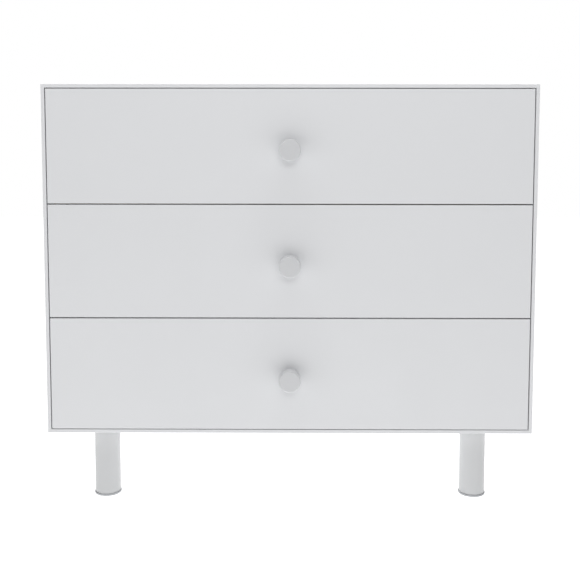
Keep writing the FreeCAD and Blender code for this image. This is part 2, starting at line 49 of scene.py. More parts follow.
# ---------------------------------------------------------------------------------------------------------
# Camera. A lens a little longer than normal stands in front of the chest, about level with its top drawer,
# and looks slightly down. The picture is shifted as well, so the upright edges stay nearly parallel.

MM = 0.001
case_low = Vector((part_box("case_side_left")[0].x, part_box("case_top")[0].y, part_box("case_bottom")[0].z))
case_high = Vector((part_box("case_side_right")[1].x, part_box("case_top")[1].y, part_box("case_top")[1].z))
CAMERA_AWAY = 1866 * MM
CAMERA_UP = 806 * MM
CAMERA_ASIDE = 10 * MM
LOOK_DOWN = math.radians(4.68)
LOOK_LEFT = math.radians(0.30)
ROLL = math.radians(-0.052)

camera_data = bpy.data.cameras.new("studio_camera")
camera = bpy.data.objects.new("studio_camera", camera_data)
scene.collection.objects.link(camera)
camera_data.sensor_width = 36
camera_data.lens = 54.84
camera_data.shift_y = -0.1509
camera_data.clip_start = 0.05
camera.location = (CAMERA_ASIDE, case_low.y - CAMERA_AWAY, CAMERA_UP)
camera.rotation_euler = (math.pi / 2 - LOOK_DOWN, ROLL, LOOK_LEFT)
scene.camera = camera

# ---------------------------------------------------------------------------------------------------------
# Studio. The chest stands on a white acrylic floor that is lit from below, in a dim white room, so much of
# the light comes from the floor. A strip box overhead lights the top of each knob and throws the shade below
# it, and one soft box in front and one low on the left fill in.


def linear(code):
    """A colour written as sRGB hex, turned to the linear values that Blender works in."""
    parts = [int(code[i:i + 2], 16) / 255 for i in (1, 3, 5)]
    return (*[c / 12.92 if c <= 0.04045 else ((c + 0.055) / 1.055) ** 2.4 for c in parts], 1)


def add(tree, kind, inputs=None, **settings):
    """Adds one node to a tree: an input given a socket is linked to it, and any other value is set on it."""
    new = tree.nodes.new(kind)
    for key, value in settings.items():
        setattr(new, key, value)
    for key, value in (inputs or {}).items():
        if isinstance(value, bpy.types.NodeSocket):
            tree.links.new(value, new.inputs[key])
        else:
            new.inputs[key].default_value = value
    return new


def blank_material(name):
    """An empty material, ready for its nodes."""
    material = bpy.data.materials.new(name)
    material.use_nodes = True
    material.node_tree.nodes.clear()
    return material


def soft_box(name, place, aim, width, height, power):
    """A rectangular light at one place, aimed at another. Sizes are in metres and the power is in watts."""
    light = bpy.data.lights.new(name, "AREA")
    light.shape = "RECTANGLE"
    light.size = width
    light.size_y = height
    light.energy = power
    obj = bpy.data.objects.new(name, light)
    obj.location = place
    obj.rotation_euler = (Vector(aim) - Vector(place)).to_track_quat("-Z", "Y").to_euler()
    scene.collection.objects.link(obj)


scene.view_settings.view_transform = "Standard"
world = bpy.data.worlds.new("bright_room")
world.use_nodes = True
world.node_tree.nodes.clear()
ROOM_LIGHT = 0.24
seen = add(world.node_tree, "ShaderNodeLightPath").outputs["Is Camera Ray"]
walls = add(world.node_tree, "ShaderNodeBackground", {"Color": linear("#FFFFFF"), "Strength": ROOM_LIGHT})
backdrop = add(world.node_tree, "ShaderNodeBackground", {"Color": linear("#FFFFFF"), "Strength": 1.0})
room = add(world.node_tree, "ShaderNodeMixShader", {0: seen, 1: walls.outputs[0], 2: backdrop.outputs[0]})
add(world.node_tree, "ShaderNodeOutputWorld", {"Surface": room.outputs[0]})
scene.world = world

middle = (case_low + case_high) / 2
soft_box("overhead_strip_box", place=(0, -0.5, 2.4), aim=(0, -0.5, 0), width=2.0, height=0.45, power=18.5)
soft_box("front_soft_box", place=(0.2, -2.9, 1.9), aim=middle, width=1.6, height=0.8, power=15.5)
soft_box("low_soft_box", place=(-2.8, -2.0, 0.4), aim=middle, width=1.2, height=0.9, power=6)

FLOOR_SPREAD = 12
floor_mesh = bpy.data.meshes.new("studio_floor")
edge = FLOOR_SPREAD / 2
corners = [(-edge, -edge, 0), (edge, -edge, 0), (edge, edge, 0), (-edge, edge, 0)]
floor_mesh.from_pydata(corners, [], [(0, 1, 2, 3)])
floor = bpy.data.objects.new("studio_floor", floor_mesh)
scene.collection.objects.link(floor)
acrylic = blank_material("white_acrylic_lit_from_below")
glow = add(acrylic.node_tree, "ShaderNodeEmission", {"Color": linear("#FFFFFF"), "Strength": 1.06})
face = add(acrylic.node_tree, "ShaderNodeBsdfDiffuse", {"Color": linear("#B4B4B4")})
lit = add(acrylic.node_tree, "ShaderNodeAddShader", {0: glow.outputs[0], 1: face.outputs[0]})
add(acrylic.node_tree, "ShaderNodeOutputMaterial", {"Surface": lit.outputs[0]})
floor_mesh.materials.append(acrylic)

# ---------------------------------------------------------------------------------------------------------
# Case. Four 18 mm fibreboard panels are mitred and splined, then filled, sanded and sprayed as one shell, so
# no joint shows. The front edge is rebated to a 7.4 mm lip round the drawers, the back edge for its board.


def new_piece(name, mesh, material, body):
    """Makes a finished mesh an object that moves with one body."""
    mesh.materials.clear()
    mesh.materials.append(material)
    obj = bpy.data.objects.new(name, mesh)
    scene.collection.objects.link(obj)
    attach(obj, body)
    return obj


def mesh_from(name, shape):
    """Turns a bmesh into a smooth-shaded mesh with its faces outwards."""
    bmesh.ops.recalc_face_normals(shape, faces=shape.faces)
    mesh = bpy.data.meshes.new(name)
    shape.to_mesh(mesh)
    shape.free()
    mesh.polygons.foreach_set("use_smooth", [True] * len(mesh.polygons))
    return mesh


def even_shading(obj):
    """Keeps flat faces flat beside their rounded edges."""
    weigh = obj.modifiers.new("flat_faces", "WEIGHTED_NORMAL")
    weigh.keep_sharp = True
    weigh.weight = 100
    return obj


def round_edges(shape, radius, steps, wanted=None):
    """Rounds the sharp edges of a bmesh, or only those that a test wants."""
    sharp = [e for e in shape.edges if e.is_manifold and e.calc_face_angle() > math.radians(30)]
    if wanted:
        sharp = [e for e in sharp if wanted(e)]
    bmesh.ops.bevel(shape, geom=sharp, offset=radius, segments=steps, profile=0.5, affect="EDGES")


def satin_lacquer(name, colour, ripple_mm, tone):
    """Sprayed satin lacquer over sanded fibreboard: white with a trace of cold grey. Spraying leaves a faint
    orange-peel ripple, which breaks up reflections, and the sheen drifts a little over a hand's width. The
    ripple is about 2 mm across, and is drawn slightly deeper than a real one so that it shows."""
    material = blank_material(name)
    tree = material.node_tree
    place = add(tree, "ShaderNodeTexCoord").outputs["Object"]
    drift = add(tree, "ShaderNodeTexNoise", {"Vector": place, "Scale": 1 / (160 * MM), "Detail": 2})
    tint = {0: drift.outputs[0], 6: linear(colour), 7: linear(tone)}
    paint = add(tree, "ShaderNodeMix", tint, data_type="RGBA")
    peel = add(tree, "ShaderNodeTexNoise", {"Vector": place, "Scale": 1 / (ripple_mm * MM), "Detail": 2})
    dust = add(tree, "ShaderNodeTexVoronoi", {"Vector": place, "Scale": 1 / (9 * MM), "Randomness": 1})
    nib = add(tree, "ShaderNodeMapRange", {0: dust.outputs["Distance"], 1: 0.0, 2: 0.06, 3: 1.0, 4: 0.0})
    heights = {0: nib.outputs[0], 1: 0.6, 2: peel.outputs[0]}
    relief = add(tree, "ShaderNodeMath", heights, operation="MULTIPLY_ADD")
    skin = add(tree, "ShaderNodeBump", {"Height": relief.outputs[0], "Strength": 0.06, "Distance": 0.25 * MM})
    sheen = add(tree, "ShaderNodeMapRange", {0: drift.outputs[0], 1: 0.3, 2: 0.7, 3: 0.36, 4: 0.44})
    lacquer = add(tree, "ShaderNodeBsdfPrincipled", {
        "Base Color": paint.outputs[2], "Roughness": sheen.outputs[0], "Normal": skin.outputs[0],
        "IOR": 1.48, "Specular IOR Level": 0.5,
    })
    add(tree, "ShaderNodeOutputMaterial", {"Surface": lacquer.outputs[0]})
    return material


LIP = 7.4 * MM
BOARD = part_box("case_top")[1].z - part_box("case_top")[0].z
seat_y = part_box("front_rail_upper")[0].y
back_board_low, back_board_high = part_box("back_panel")
back_lip = case_high.x - back_board_high.x - 0.5 * MM

case_lacquer = satin_lacquer("satin_white_lacquer_on_case", "#DDDEE0", 2.2, "#DADBDD")

profile = [
    (case_low.y, 0), (case_low.y, LIP), (seat_y, LIP), (seat_y, BOARD),
    (back_board_low.y, BOARD), (back_board_low.y, back_lip), (case_high.y, back_lip), (case_high.y, 0),
]
shape = bmesh.new()
loops = []
for y, inset in profile:
    low_x, high_x = case_low.x + inset, case_high.x - inset
    low_z, high_z = case_low.z + inset, case_high.z - inset
    corners = ((low_x, low_z), (high_x, low_z), (high_x, high_z), (low_x, high_z))
    loops.append([shape.verts.new((x, y, z)) for x, z in corners])
for k, loop in enumerate(loops):
    following = loops[(k + 1) % len(loops)]
    for i in range(4):
        j = (i + 1) % 4
        shape.faces.new((loop[i], loop[j], following[j], following[i]))
bmesh.ops.recalc_face_normals(shape, faces=shape.faces)


def is_outer(edge):
    """True for the case's outside edges, which are rounded more than the inside ones."""
    at_side = all(abs(abs(v.co.x) - case_high.x) < MM / 10 for v in edge.verts)
    at_level = all(min(abs(v.co.z - case_low.z), abs(v.co.z - case_high.z)) < MM / 10 for v in edge.verts)
    return at_side or at_level


round_edges(shape, 0.9 * MM, 4, is_outer)
round_edges(shape, 0.4 * MM, 2, lambda e: not is_outer(e) and e.calc_face_angle() > math.radians(60))
case_shell = even_shading(new_piece("case_shell", mesh_from("case_shell", shape), case_lacquer, "case"))
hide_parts("case_top", "case_bottom", "case_side_left", "case_side_right")

# ---------------------------------------------------------------------------------------------------------
# Drawer fronts. Flat 18 mm fibreboard, sanded round at every edge by less than a millimetre, and sprayed in
# the same white as the case. Four screws from inside the box hold each one.

DRAWERS = ("top", "middle", "bottom")
front_lacquer = satin_lacquer("satin_white_lacquer_on_fronts", "#DDDEE0", 2.2, "#DADBDD")


def board(name, low, high, radius, material, body):
    """A flat board with all its edges rounded."""
    shape = bmesh.new()
    bmesh.ops.create_cube(shape, size=1)
    for v in shape.verts:
        v.co = [low[i] + (v.co[i] + 0.5) * (high[i] - low[i]) for i in range(3)]
    round_edges(shape, radius, 3)
    return even_shading(new_piece(name, mesh_from(name, shape), material, body))


for drawer in DRAWERS:
    node = f"{drawer}_drawer_front"
    front = board(f"{drawer}_front_board", *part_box(node), 0.8 * MM, front_lacquer, f"{drawer}_drawer")
    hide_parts(node)

# ---------------------------------------------------------------------------------------------------------
# Knobs. Each is one turned piece of birch: a short flared foot and a deep straight rim with a rounded edge,
# sprayed in the same white. A bolt from inside the drawer holds it.


def turned(name, profile, centre, axis, sides=96):
    """A turned piece. The profile is a list of (radius, distance along the axis) from end to end."""
    shape = bmesh.new()
    spin = Vector((0, 0, 1)).rotation_difference(Vector(axis))
    rings = []
    for radius, along in profile:
        if radius == 0:
            rings.append([shape.verts.new(spin @ Vector((0, 0, along)) + centre)])
            continue
        angles = [2 * math.pi * k / sides for k in range(sides)]
        points = [Vector((radius * math.cos(a), radius * math.sin(a), along)) for a in angles]
        rings.append([shape.verts.new(spin @ p + centre) for p in points])
    for near, far in zip(rings, rings[1:]):
        for k in range(sides):
            n = (k + 1) % sides
            corners = [near[k % len(near)], near[n % len(near)], far[n % len(far)], far[k % len(far)]]
            shape.faces.new(list(dict.fromkeys(corners)))
    return mesh_from(name, shape)


def arc(centre_r, centre_z, radius, start, stop, steps):
    """Points of an arc in a turned profile, angles in degrees from the outward direction."""
    angles = [math.radians(start + (stop - start) * k / steps) for k in range(steps + 1)]
    return [(centre_r + radius * math.cos(a), centre_z + radius * math.sin(a)) for a in angles]


def turned_lacquer(name, colour, axis):
    """Sprayed satin lacquer over turned birch, a touch greyer than the boards. Fine rings from the lathe run
    round the axis under the film, about 1 mm apart, and the film itself has a slight ripple."""
    material = blank_material(name)
    tree = material.node_tree
    place = add(tree, "ShaderNodeTexCoord").outputs["Object"]
    stretch = {"X": (1, 0.15, 0.15), "Y": (0.15, 1, 0.15), "Z": (0.15, 0.15, 1)}[axis]
    aligned = add(tree, "ShaderNodeMapping", {"Vector": place, "Scale": stretch})
    turning = {"Vector": aligned.outputs[0], "Scale": 1 / (1.0 * MM), "Detail": 3}
    rings = add(tree, "ShaderNodeTexNoise", turning)
    ripple = add(tree, "ShaderNodeTexNoise", {"Vector": place, "Scale": 1 / (1.8 * MM), "Detail": 2})
    heights = {0: rings.outputs[0], 1: 0.5, 2: ripple.outputs[0]}
    relief = add(tree, "ShaderNodeMath", heights, operation="MULTIPLY_ADD")
    skin = add(tree, "ShaderNodeBump", {"Height": relief.outputs[0], "Strength": 0.08, "Distance": 0.2 * MM})
    cloud = add(tree, "ShaderNodeTexNoise", {"Vector": place, "Scale": 1 / (40 * MM), "Detail": 2})
    sheen = add(tree, "ShaderNodeMapRange", {0: cloud.outputs[0], 1: 0.3, 2: 0.7, 3: 0.34, 4: 0.42})
    lacquer = add(tree, "ShaderNodeBsdfPrincipled", {
        "Base Color": linear(colour), "Roughness": sheen.outputs[0], "Normal": skin.outputs[0], "IOR": 1.48,
    })
    add(tree, "ShaderNodeOutputMaterial", {"Surface": lacquer.outputs[0]})
    return material


knob_lacquer = turned_lacquer("satin_white_lacquer_on_turned_knob", "#CACBCD", "Y")
KNOB_FOOT = 16 * MM
KNOB_RIM = 26 * MM
KNOB_EDGE = 3 * MM
FLARE_POWER = 1.7

for drawer in DRAWERS:
    node = f"{drawer}_drawer_knob"
    low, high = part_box(node)
    reach = high.y - low.y
    wide = (high.z - low.z) / 2
    neck = reach - KNOB_RIM
    steps = 14
    spread = wide - KNOB_FOOT
    flare = [(KNOB_FOOT + spread * (k / steps) ** FLARE_POWER, neck * k / steps) for k in range(steps)]
    rear = arc(wide - KNOB_EDGE / 2, neck + KNOB_EDGE / 2, KNOB_EDGE / 2, -60, 0, 3)
    rim = arc(wide - KNOB_EDGE, reach - KNOB_EDGE, KNOB_EDGE, 0, 90, 6)
    outline = [(0, 0), *flare, *rear, *rim, (0, reach)]
    centre = Vector(((low.x + high.x) / 2, high.y, (low.z + high.z) / 2))
    mesh = turned(f"{drawer}_turned_knob", outline, centre, (0, -1, 0))
    knob = even_shading(new_piece(f"{drawer}_turned_knob", mesh, knob_lacquer, f"{drawer}_drawer"))
    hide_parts(node)

# ---------------------------------------------------------------------------------------------------------
# Legs. Plain turned birch cylinders, eased at both ends and sprayed white. Under each one a grey nylon glide,
# a little wider than the leg, is pressed in by its pin.

leg_lacquer = turned_lacquer("satin_white_lacquer_on_turned_leg", "#C9CACB", "Z")


def moulded_nylon(name, colour):
    """Injection-moulded grey nylon: an even mid grey with the fine spark-eroded grain of its mould, which is
    about 0.4 mm across, and scuffs from the floor that make it a little rougher in places."""
    material = blank_material(name)
    tree = material.node_tree
    place = add(tree, "ShaderNodeTexCoord").outputs["Object"]
    grain = add(tree, "ShaderNodeTexNoise", {"Vector": place, "Scale": 1 / (0.4 * MM), "Detail": 3})
    skin = add(tree, "ShaderNodeBump", {"Height": grain.outputs[0], "Strength": 0.2, "Distance": 0.1 * MM})
    scuff = add(tree, "ShaderNodeTexNoise", {"Vector": place, "Scale": 1 / (7 * MM), "Detail": 4})
    dull = add(tree, "ShaderNodeMapRange", {0: scuff.outputs[0], 1: 0.35, 2: 0.65, 3: 0.42, 4: 0.6})
    nylon = add(tree, "ShaderNodeBsdfPrincipled", {
        "Base Color": linear(colour), "Roughness": dull.outputs[0], "Normal": skin.outputs[0], "IOR": 1.53,
    })
    add(tree, "ShaderNodeOutputMaterial", {"Surface": nylon.outputs[0]})
    return material


glide_nylon = moulded_nylon("grey_moulded_nylon", "#B9BBBE")
LEG_EASE = 1.0 * MM
GLIDE_THICK = 4 * MM
GLIDE_EASE = 0.6 * MM

for row in ("front", "back"):
    for side in ("left", "right"):
        low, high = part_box(f"leg_{row}_{side}")
        radius = (high.x - low.x) / 2
        tall = high.z - low.z
        centre = Vector(((low.x + high.x) / 2, (low.y + high.y) / 2, low.z))
        foot = arc(radius - LEG_EASE, LEG_EASE, LEG_EASE, -90, 0, 4)
        head = arc(radius - LEG_EASE, tall - LEG_EASE, LEG_EASE, 0, 90, 4)
        mesh = turned(f"leg_{row}_{side}_turned", [(0, 0), *foot, *head, (0, tall)], centre, (0, 0, 1))
        leg = even_shading(new_piece(f"leg_{row}_{side}_turned", mesh, leg_lacquer, "case"))
        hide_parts(f"leg_{row}_{side}")

        low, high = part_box(f"glide_{row}_{side}")
        radius = (high.x - low.x) / 2
        under = arc(radius - GLIDE_EASE, GLIDE_EASE, GLIDE_EASE, -90, 0, 3)
        over = arc(radius - GLIDE_EASE, GLIDE_THICK - GLIDE_EASE, GLIDE_EASE, 0, 90, 3)
        pin = [(3 * MM, GLIDE_THICK), (3 * MM, high.z - low.z)]
        outline = [(0, 0), *under, *over, *pin, (0, high.z - low.z)]
        centre.z = low.z
        mesh = turned(f"glide_{row}_{side}_moulded", outline, centre, (0, 0, 1))
        glide = even_shading(new_piece(f"glide_{row}_{side}_moulded", mesh, glide_nylon, "case"))
        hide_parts(f"glide_{row}_{side}")

# ---------------------------------------------------------------------------------------------------------
# Leg bolts and inserts. A zinc-plated hanger bolt stands in each leg and turns into a threaded steel insert
# in the bottom panel. Only their ends could ever be seen, so they keep their plain shapes.


def zinc_plate(name, drift_mm):
    """Bright zinc plating on rolled steel: a pale grey metal with a cold, slightly patchy passive film. Fine
    rolling lines about 0.5 mm apart run from front to back, and fingers leave duller clouds on it."""
    material = blank_material(name)
    tree = material.node_tree
    place = add(tree, "ShaderNodeTexCoord").outputs["Object"]
    patch = add(tree, "ShaderNodeTexNoise", {"Vector": place, "Scale": 1 / (drift_mm * MM), "Detail": 3})
    tint = {0: patch.outputs[0], 6: linear("#C3C8CE"), 7: linear("#CFCFCA")}
    film = add(tree, "ShaderNodeMix", tint, data_type="RGBA")
    aligned = add(tree, "ShaderNodeMapping", {"Vector": place, "Scale": (1, 0.03, 1)})
    rolling = {"Vector": aligned.outputs[0], "Scale": 1 / (0.5 * MM), "Detail": 2}
    lines = add(tree, "ShaderNodeTexNoise", rolling)
    skin = add(tree, "ShaderNodeBump", {"Height": lines.outputs[0], "Strength": 0.12, "Distance": 0.1 * MM})
    dull = add(tree, "ShaderNodeMapRange", {0: patch.outputs[0], 1: 0.35, 2: 0.65, 3: 0.26, 4: 0.42})
    metal = add(tree, "ShaderNodeBsdfPrincipled", {
        "Base Color": film.outputs[2], "Metallic": 1, "Roughness": dull.outputs[0], "Normal": skin.outputs[0],
    })
    add(tree, "ShaderNodeOutputMaterial", {"Surface": metal.outputs[0]})
    return material


def refinish(node, material):
    """Gives a CAD node that keeps its shape its real surface."""
    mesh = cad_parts[node].data
    mesh.materials.clear()
    mesh.materials.append(material)


runner_zinc = zinc_plate("bright_zinc_plated_steel", 30)
refinish("leg_bolts", runner_zinc)
refinish("leg_inserts", runner_zinc)

# ---------------------------------------------------------------------------------------------------------
# Rails, dowels and splines. The rails across the case are birch plywood, glued to the sides on fluted beech
# dowels. The mitres are held by beech splines. All of it is left raw or has one coat of clear lacquer.


def birch_plywood(name, grain, across, ply_mm):
    """Clear-lacquered birch plywood. Its faces are pale rotary-cut veneer, with long soft bands and darker
    flecks along the grain. Its edges show the plies, light where they run along the edge and brown where they
    end in it. Grain and across are the axes of the face grain and of the thickness."""
    material = blank_material(name)
    tree = material.node_tree
    coords = add(tree, "ShaderNodeTexCoord")
    place = coords.outputs["Object"]
    long_way = [0.02 if axis == grain else 1 for axis in "XYZ"]
    band_way = [0.08 if axis == grain else 1 for axis in "XYZ"]
    stretched = add(tree, "ShaderNodeMapping", {"Vector": place, "Scale": band_way})
    bands = add(tree, "ShaderNodeTexNoise", {
        "Vector": stretched.outputs[0], "Scale": 1 / (28 * MM), "Detail": 3, "Distortion": 1.2,
    })
    drawn = add(tree, "ShaderNodeMapping", {"Vector": place, "Scale": long_way})
    strands = {"Vector": drawn.outputs[0], "Scale": 1 / (0.7 * MM), "Detail": 3}
    fibre = add(tree, "ShaderNodeTexNoise", strands)
    tone = add(tree, "ShaderNodeMix", {0: 0.35, 2: bands.outputs[0], 3: fibre.outputs[0]})
    veneer = add(tree, "ShaderNodeValToRGB", {0: tone.outputs[0]})
    ramp = veneer.color_ramp
    ramp.elements[0].position = 0.36
    ramp.elements[0].color = linear("#CDB791")
    ramp.elements[1].position = 0.62
    ramp.elements[1].color = linear("#E9DCC0")
    warm = ramp.elements.new(0.5)
    warm.color = linear("#DCCBA6")
    fleck_way = [0.18 if axis == grain else 1 for axis in "XYZ"]
    flecked = add(tree, "ShaderNodeMapping", {"Vector": place, "Scale": fleck_way})
    cells = add(tree, "ShaderNodeTexVoronoi", {"Vector": flecked.outputs[0], "Scale": 1 / (5 * MM)})
    fleck = add(tree, "ShaderNodeMapRange", {0: cells.outputs["Distance"], 1: 0.05, 2: 0.13, 3: 0.35, 4: 0})
    face = add(tree, "ShaderNodeMix", {
        0: fleck.outputs[0], 6: veneer.outputs[0], 7: linear("#B89F78"),
    }, data_type="RGBA")

    parts = add(tree, "ShaderNodeSeparateXYZ", {0: place})
    wobble = add(tree, "ShaderNodeTexNoise", {"Vector": place, "Scale": 1 / (35 * MM), "Detail": 2})
    layers = {0: parts.outputs[across], 1: math.pi / (ply_mm * MM)}
    depth = add(tree, "ShaderNodeMath", layers, operation="MULTIPLY")
    bend = {0: wobble.outputs[0], 1: 1.1, 2: depth.outputs[0]}
    bent = add(tree, "ShaderNodeMath", bend, operation="MULTIPLY_ADD")
    wave = add(tree, "ShaderNodeMath", {0: bent.outputs[0]}, operation="SINE")
    which = add(tree, "ShaderNodeMapRange", {0: wave.outputs[0], 1: -0.35, 2: 0.35, 3: 0, 4: 1})
    pores = add(tree, "ShaderNodeTexNoise", {"Vector": place, "Scale": 1 / (0.9 * MM), "Detail": 2})
    ends = add(tree, "ShaderNodeMix", {
        0: pores.outputs[0], 6: linear("#9C805A"), 7: linear("#BFA279"),
    }, data_type="RGBA")
    plies = add(tree, "ShaderNodeMix", {
        0: which.outputs[0], 6: ends.outputs[2], 7: linear("#E2D3B1"),
    }, data_type="RGBA")

    facing = add(tree, "ShaderNodeSeparateXYZ", {0: coords.outputs["Normal"]})
    flat = add(tree, "ShaderNodeMath", {0: facing.outputs[across]}, operation="ABSOLUTE")
    on_face = add(tree, "ShaderNodeMapRange", {0: flat.outputs[0], 1: 0.5, 2: 0.8, 3: 0, 4: 1})
    wood = add(tree, "ShaderNodeMix", {
        0: on_face.outputs[0], 6: plies.outputs[2], 7: face.outputs[2],
    }, data_type="RGBA")
    skin = add(tree, "ShaderNodeBump", {"Height": fibre.outputs[0], "Strength": 0.15, "Distance": 0.15 * MM})
    dull = add(tree, "ShaderNodeMapRange", {0: fibre.outputs[0], 1: 0.3, 2: 0.7, 3: 0.5, 4: 0.38})
    lacquered = add(tree, "ShaderNodeBsdfPrincipled", {
        "Base Color": wood.outputs[2], "Roughness": dull.outputs[0], "Normal": skin.outputs[0], "IOR": 1.5,
    })
    add(tree, "ShaderNodeOutputMaterial", {"Surface": lacquered.outputs[0]})
    return material


def raw_beech(name, grain):
    """Raw beech: pinkish tan, with the short dark dashes of its rays along the grain, about 3 mm long."""
    material = blank_material(name)
    tree = material.node_tree
    place = add(tree, "ShaderNodeTexCoord").outputs["Object"]
    ray_way = [0.25 if axis == grain else 1 for axis in "XYZ"]
    drawn = add(tree, "ShaderNodeMapping", {"Vector": place, "Scale": ray_way})
    rays = add(tree, "ShaderNodeTexVoronoi", {"Vector": drawn.outputs[0], "Scale": 1 / (0.8 * MM)})
    dash = add(tree, "ShaderNodeMapRange", {0: rays.outputs["Distance"], 1: 0.1, 2: 0.3, 3: 0.6, 4: 0})
    wood = add(tree, "ShaderNodeMix", {
        0: dash.outputs[0], 6: linear("#C9A27C"), 7: linear("#9A6F4B"),
    }, data_type="RGBA")
    raw = add(tree, "ShaderNodeBsdfPrincipled", {"Base Color": wood.outputs[2], "Roughness": 0.7, "IOR": 1.5})
    add(tree, "ShaderNodeOutputMaterial", {"Surface": raw.outputs[0]})
    return material


def softened(node, name, radius, material, body):
    """A CAD board or channel again, with its long edges rounded as sanding or rolling leaves them."""
    shape = bmesh.new()
    shape.from_mesh(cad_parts[node].data)
    bmesh.ops.remove_doubles(shape, verts=shape.verts, dist=MM / 100)
    bmesh.ops.dissolve_limit(shape, angle_limit=math.radians(1), verts=shape.verts, edges=shape.edges)
    round_edges(shape, radius, 2, lambda e: e.calc_length() > 5 * MM)
    piece = even_shading(new_piece(name, mesh_from(name, shape), material, body))
    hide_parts(node)
    return piece


RAIL_PLY_MM = 1.4
long_ply_flat = birch_plywood("clear_lacquered_birch_ply_rail", "X", "Z", RAIL_PLY_MM)
long_ply_upright = birch_plywood("clear_lacquered_birch_ply_long_board", "X", "Y", RAIL_PLY_MM)
for level in ("upper", "lower"):
    rail = softened(f"front_rail_{level}", f"rail_{level}_board", 0.5 * MM, long_ply_flat, "case")
rail = softened("back_rail", "back_rail_board", 0.5 * MM, long_ply_upright, "case")
refinish("rail_dowels", raw_beech("raw_beech_dowel", "X"))
refinish("mitre_splines", raw_beech("raw_beech_spline", "Y"))

# ---------------------------------------------------------------------------------------------------------
# Back board. One sheet of 5 mm hardboard, painted white, lies in the rebate at the back, held by screws. Two
# holes near its top take the strap that ties the chest to the wall.


def painted_hardboard(name, colour):
    """Hardboard under one thin coat of white paint. The pressed fibres still show as a fine felted relief
    about 1.5 mm across, and the paint is flatter than the lacquer outside."""
    material = blank_material(name)
    tree = material.node_tree
    place = add(tree, "ShaderNodeTexCoord").outputs["Object"]
    fibres = {"Vector": place, "Scale": 1 / (1.5 * MM), "Detail": 4, "Distortion": 2}
    felt = add(tree, "ShaderNodeTexNoise", fibres)
    cloud = add(tree, "ShaderNodeTexNoise", {"Vector": place, "Scale": 1 / (60 * MM), "Detail": 3})
    thin = add(tree, "ShaderNodeMix", {
        0: cloud.outputs[0], 6: linear(colour), 7: linear("#D6D5D3"),
    }, data_type="RGBA")
    skin = add(tree, "ShaderNodeBump", {"Height": felt.outputs[0], "Strength": 0.25, "Distance": 0.2 * MM})
    paint = add(tree, "ShaderNodeBsdfPrincipled", {
        "Base Color": thin.outputs[2], "Roughness": 0.62, "Normal": skin.outputs[0], "IOR": 1.5,
    })
    add(tree, "ShaderNodeOutputMaterial", {"Surface": paint.outputs[0]})
    return material


hardboard = painted_hardboard("white_painted_hardboard", "#DADAD9")
back = softened("back_panel", "back_board", 0.4 * MM, hardboard, "case")

# ---------------------------------------------------------------------------------------------------------
# Drawer boxes. Four 12 mm birch plywood boards, finger-jointed and glued at the corners, with their edges
# sanded. The 6 mm bottom slides in a groove 10 mm above their lower edge.

BOX_PLY_MM = 1.33
side_ply = birch_plywood("clear_lacquered_birch_ply_box_side", "Y", "X", BOX_PLY_MM)
end_ply = birch_plywood("clear_lacquered_birch_ply_box_end", "X", "Y", BOX_PLY_MM)
base_ply = birch_plywood("clear_lacquered_birch_ply_box_bottom", "X", "Z", BOX_PLY_MM)
BOX_BOARDS = {"box_front": end_ply, "box_back": end_ply, "side_left": side_ply, "side_right": side_ply}

for drawer in DRAWERS:
    for part, ply in BOX_BOARDS.items():
        node = f"{drawer}_drawer_{part}"
        piece = softened(node, f"{drawer}_{part}_board", 0.5 * MM, ply, f"{drawer}_drawer")
    node = f"{drawer}_drawer_base"
    piece = softened(node, f"{drawer}_bottom_board", 0.3 * MM, base_ply, f"{drawer}_drawer")

# ---------------------------------------------------------------------------------------------------------
# Runners. Each side of a drawer has three rolled channels of zinc-plated steel: one on the case, one on the
# box and a loose one between them, which carries two steel cages of hardened balls above and two below.

for drawer in DRAWERS:
    for node, body in (
        (f"case_runners_{drawer}", "case"),
        (f"middle_runners_{drawer}", f"{drawer}_runner_carriage"),
        (f"{drawer}_drawer_runners", f"{drawer}_drawer"),
    ):
        piece = softened(node, f"{node}_rolled", 0.35 * MM, runner_zinc, body)


def loose_solids(node):
    """The corner points of each separate solid of a CAD node, always in the same order."""
    shape = bmesh.new()
    shape.from_mesh(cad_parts[node].data)
    bmesh.ops.remove_doubles(shape, verts=shape.verts, dist=MM / 100)
    left = dict.fromkeys(shape.verts)
    solids = []
    while left:
        reached = [left.popitem()[0]]
        for v in reached:
            near = [n for n in (e.other_vert(v) for e in v.link_edges) if n in left]
            for n in dict.fromkeys(near):
                del left[n]
                reached.append(n)
        solids.append(np.array([v.co for v in reached]))
    shape.free()
    return solids


def geometry_tree(name, sizes):
    """A Geometry Nodes tree with a geometry input, named size inputs and a geometry output."""
    tree = bpy.data.node_groups.new(name, "GeometryNodeTree")
    face = tree.interface
    face.new_socket("Geometry", in_out="INPUT", socket_type="NodeSocketGeometry")
    for size, kind in sizes.items():
        face.new_socket(size, in_out="INPUT", socket_type=kind)
    face.new_socket("Geometry", in_out="OUTPUT", socket_type="NodeSocketGeometry")
    return tree


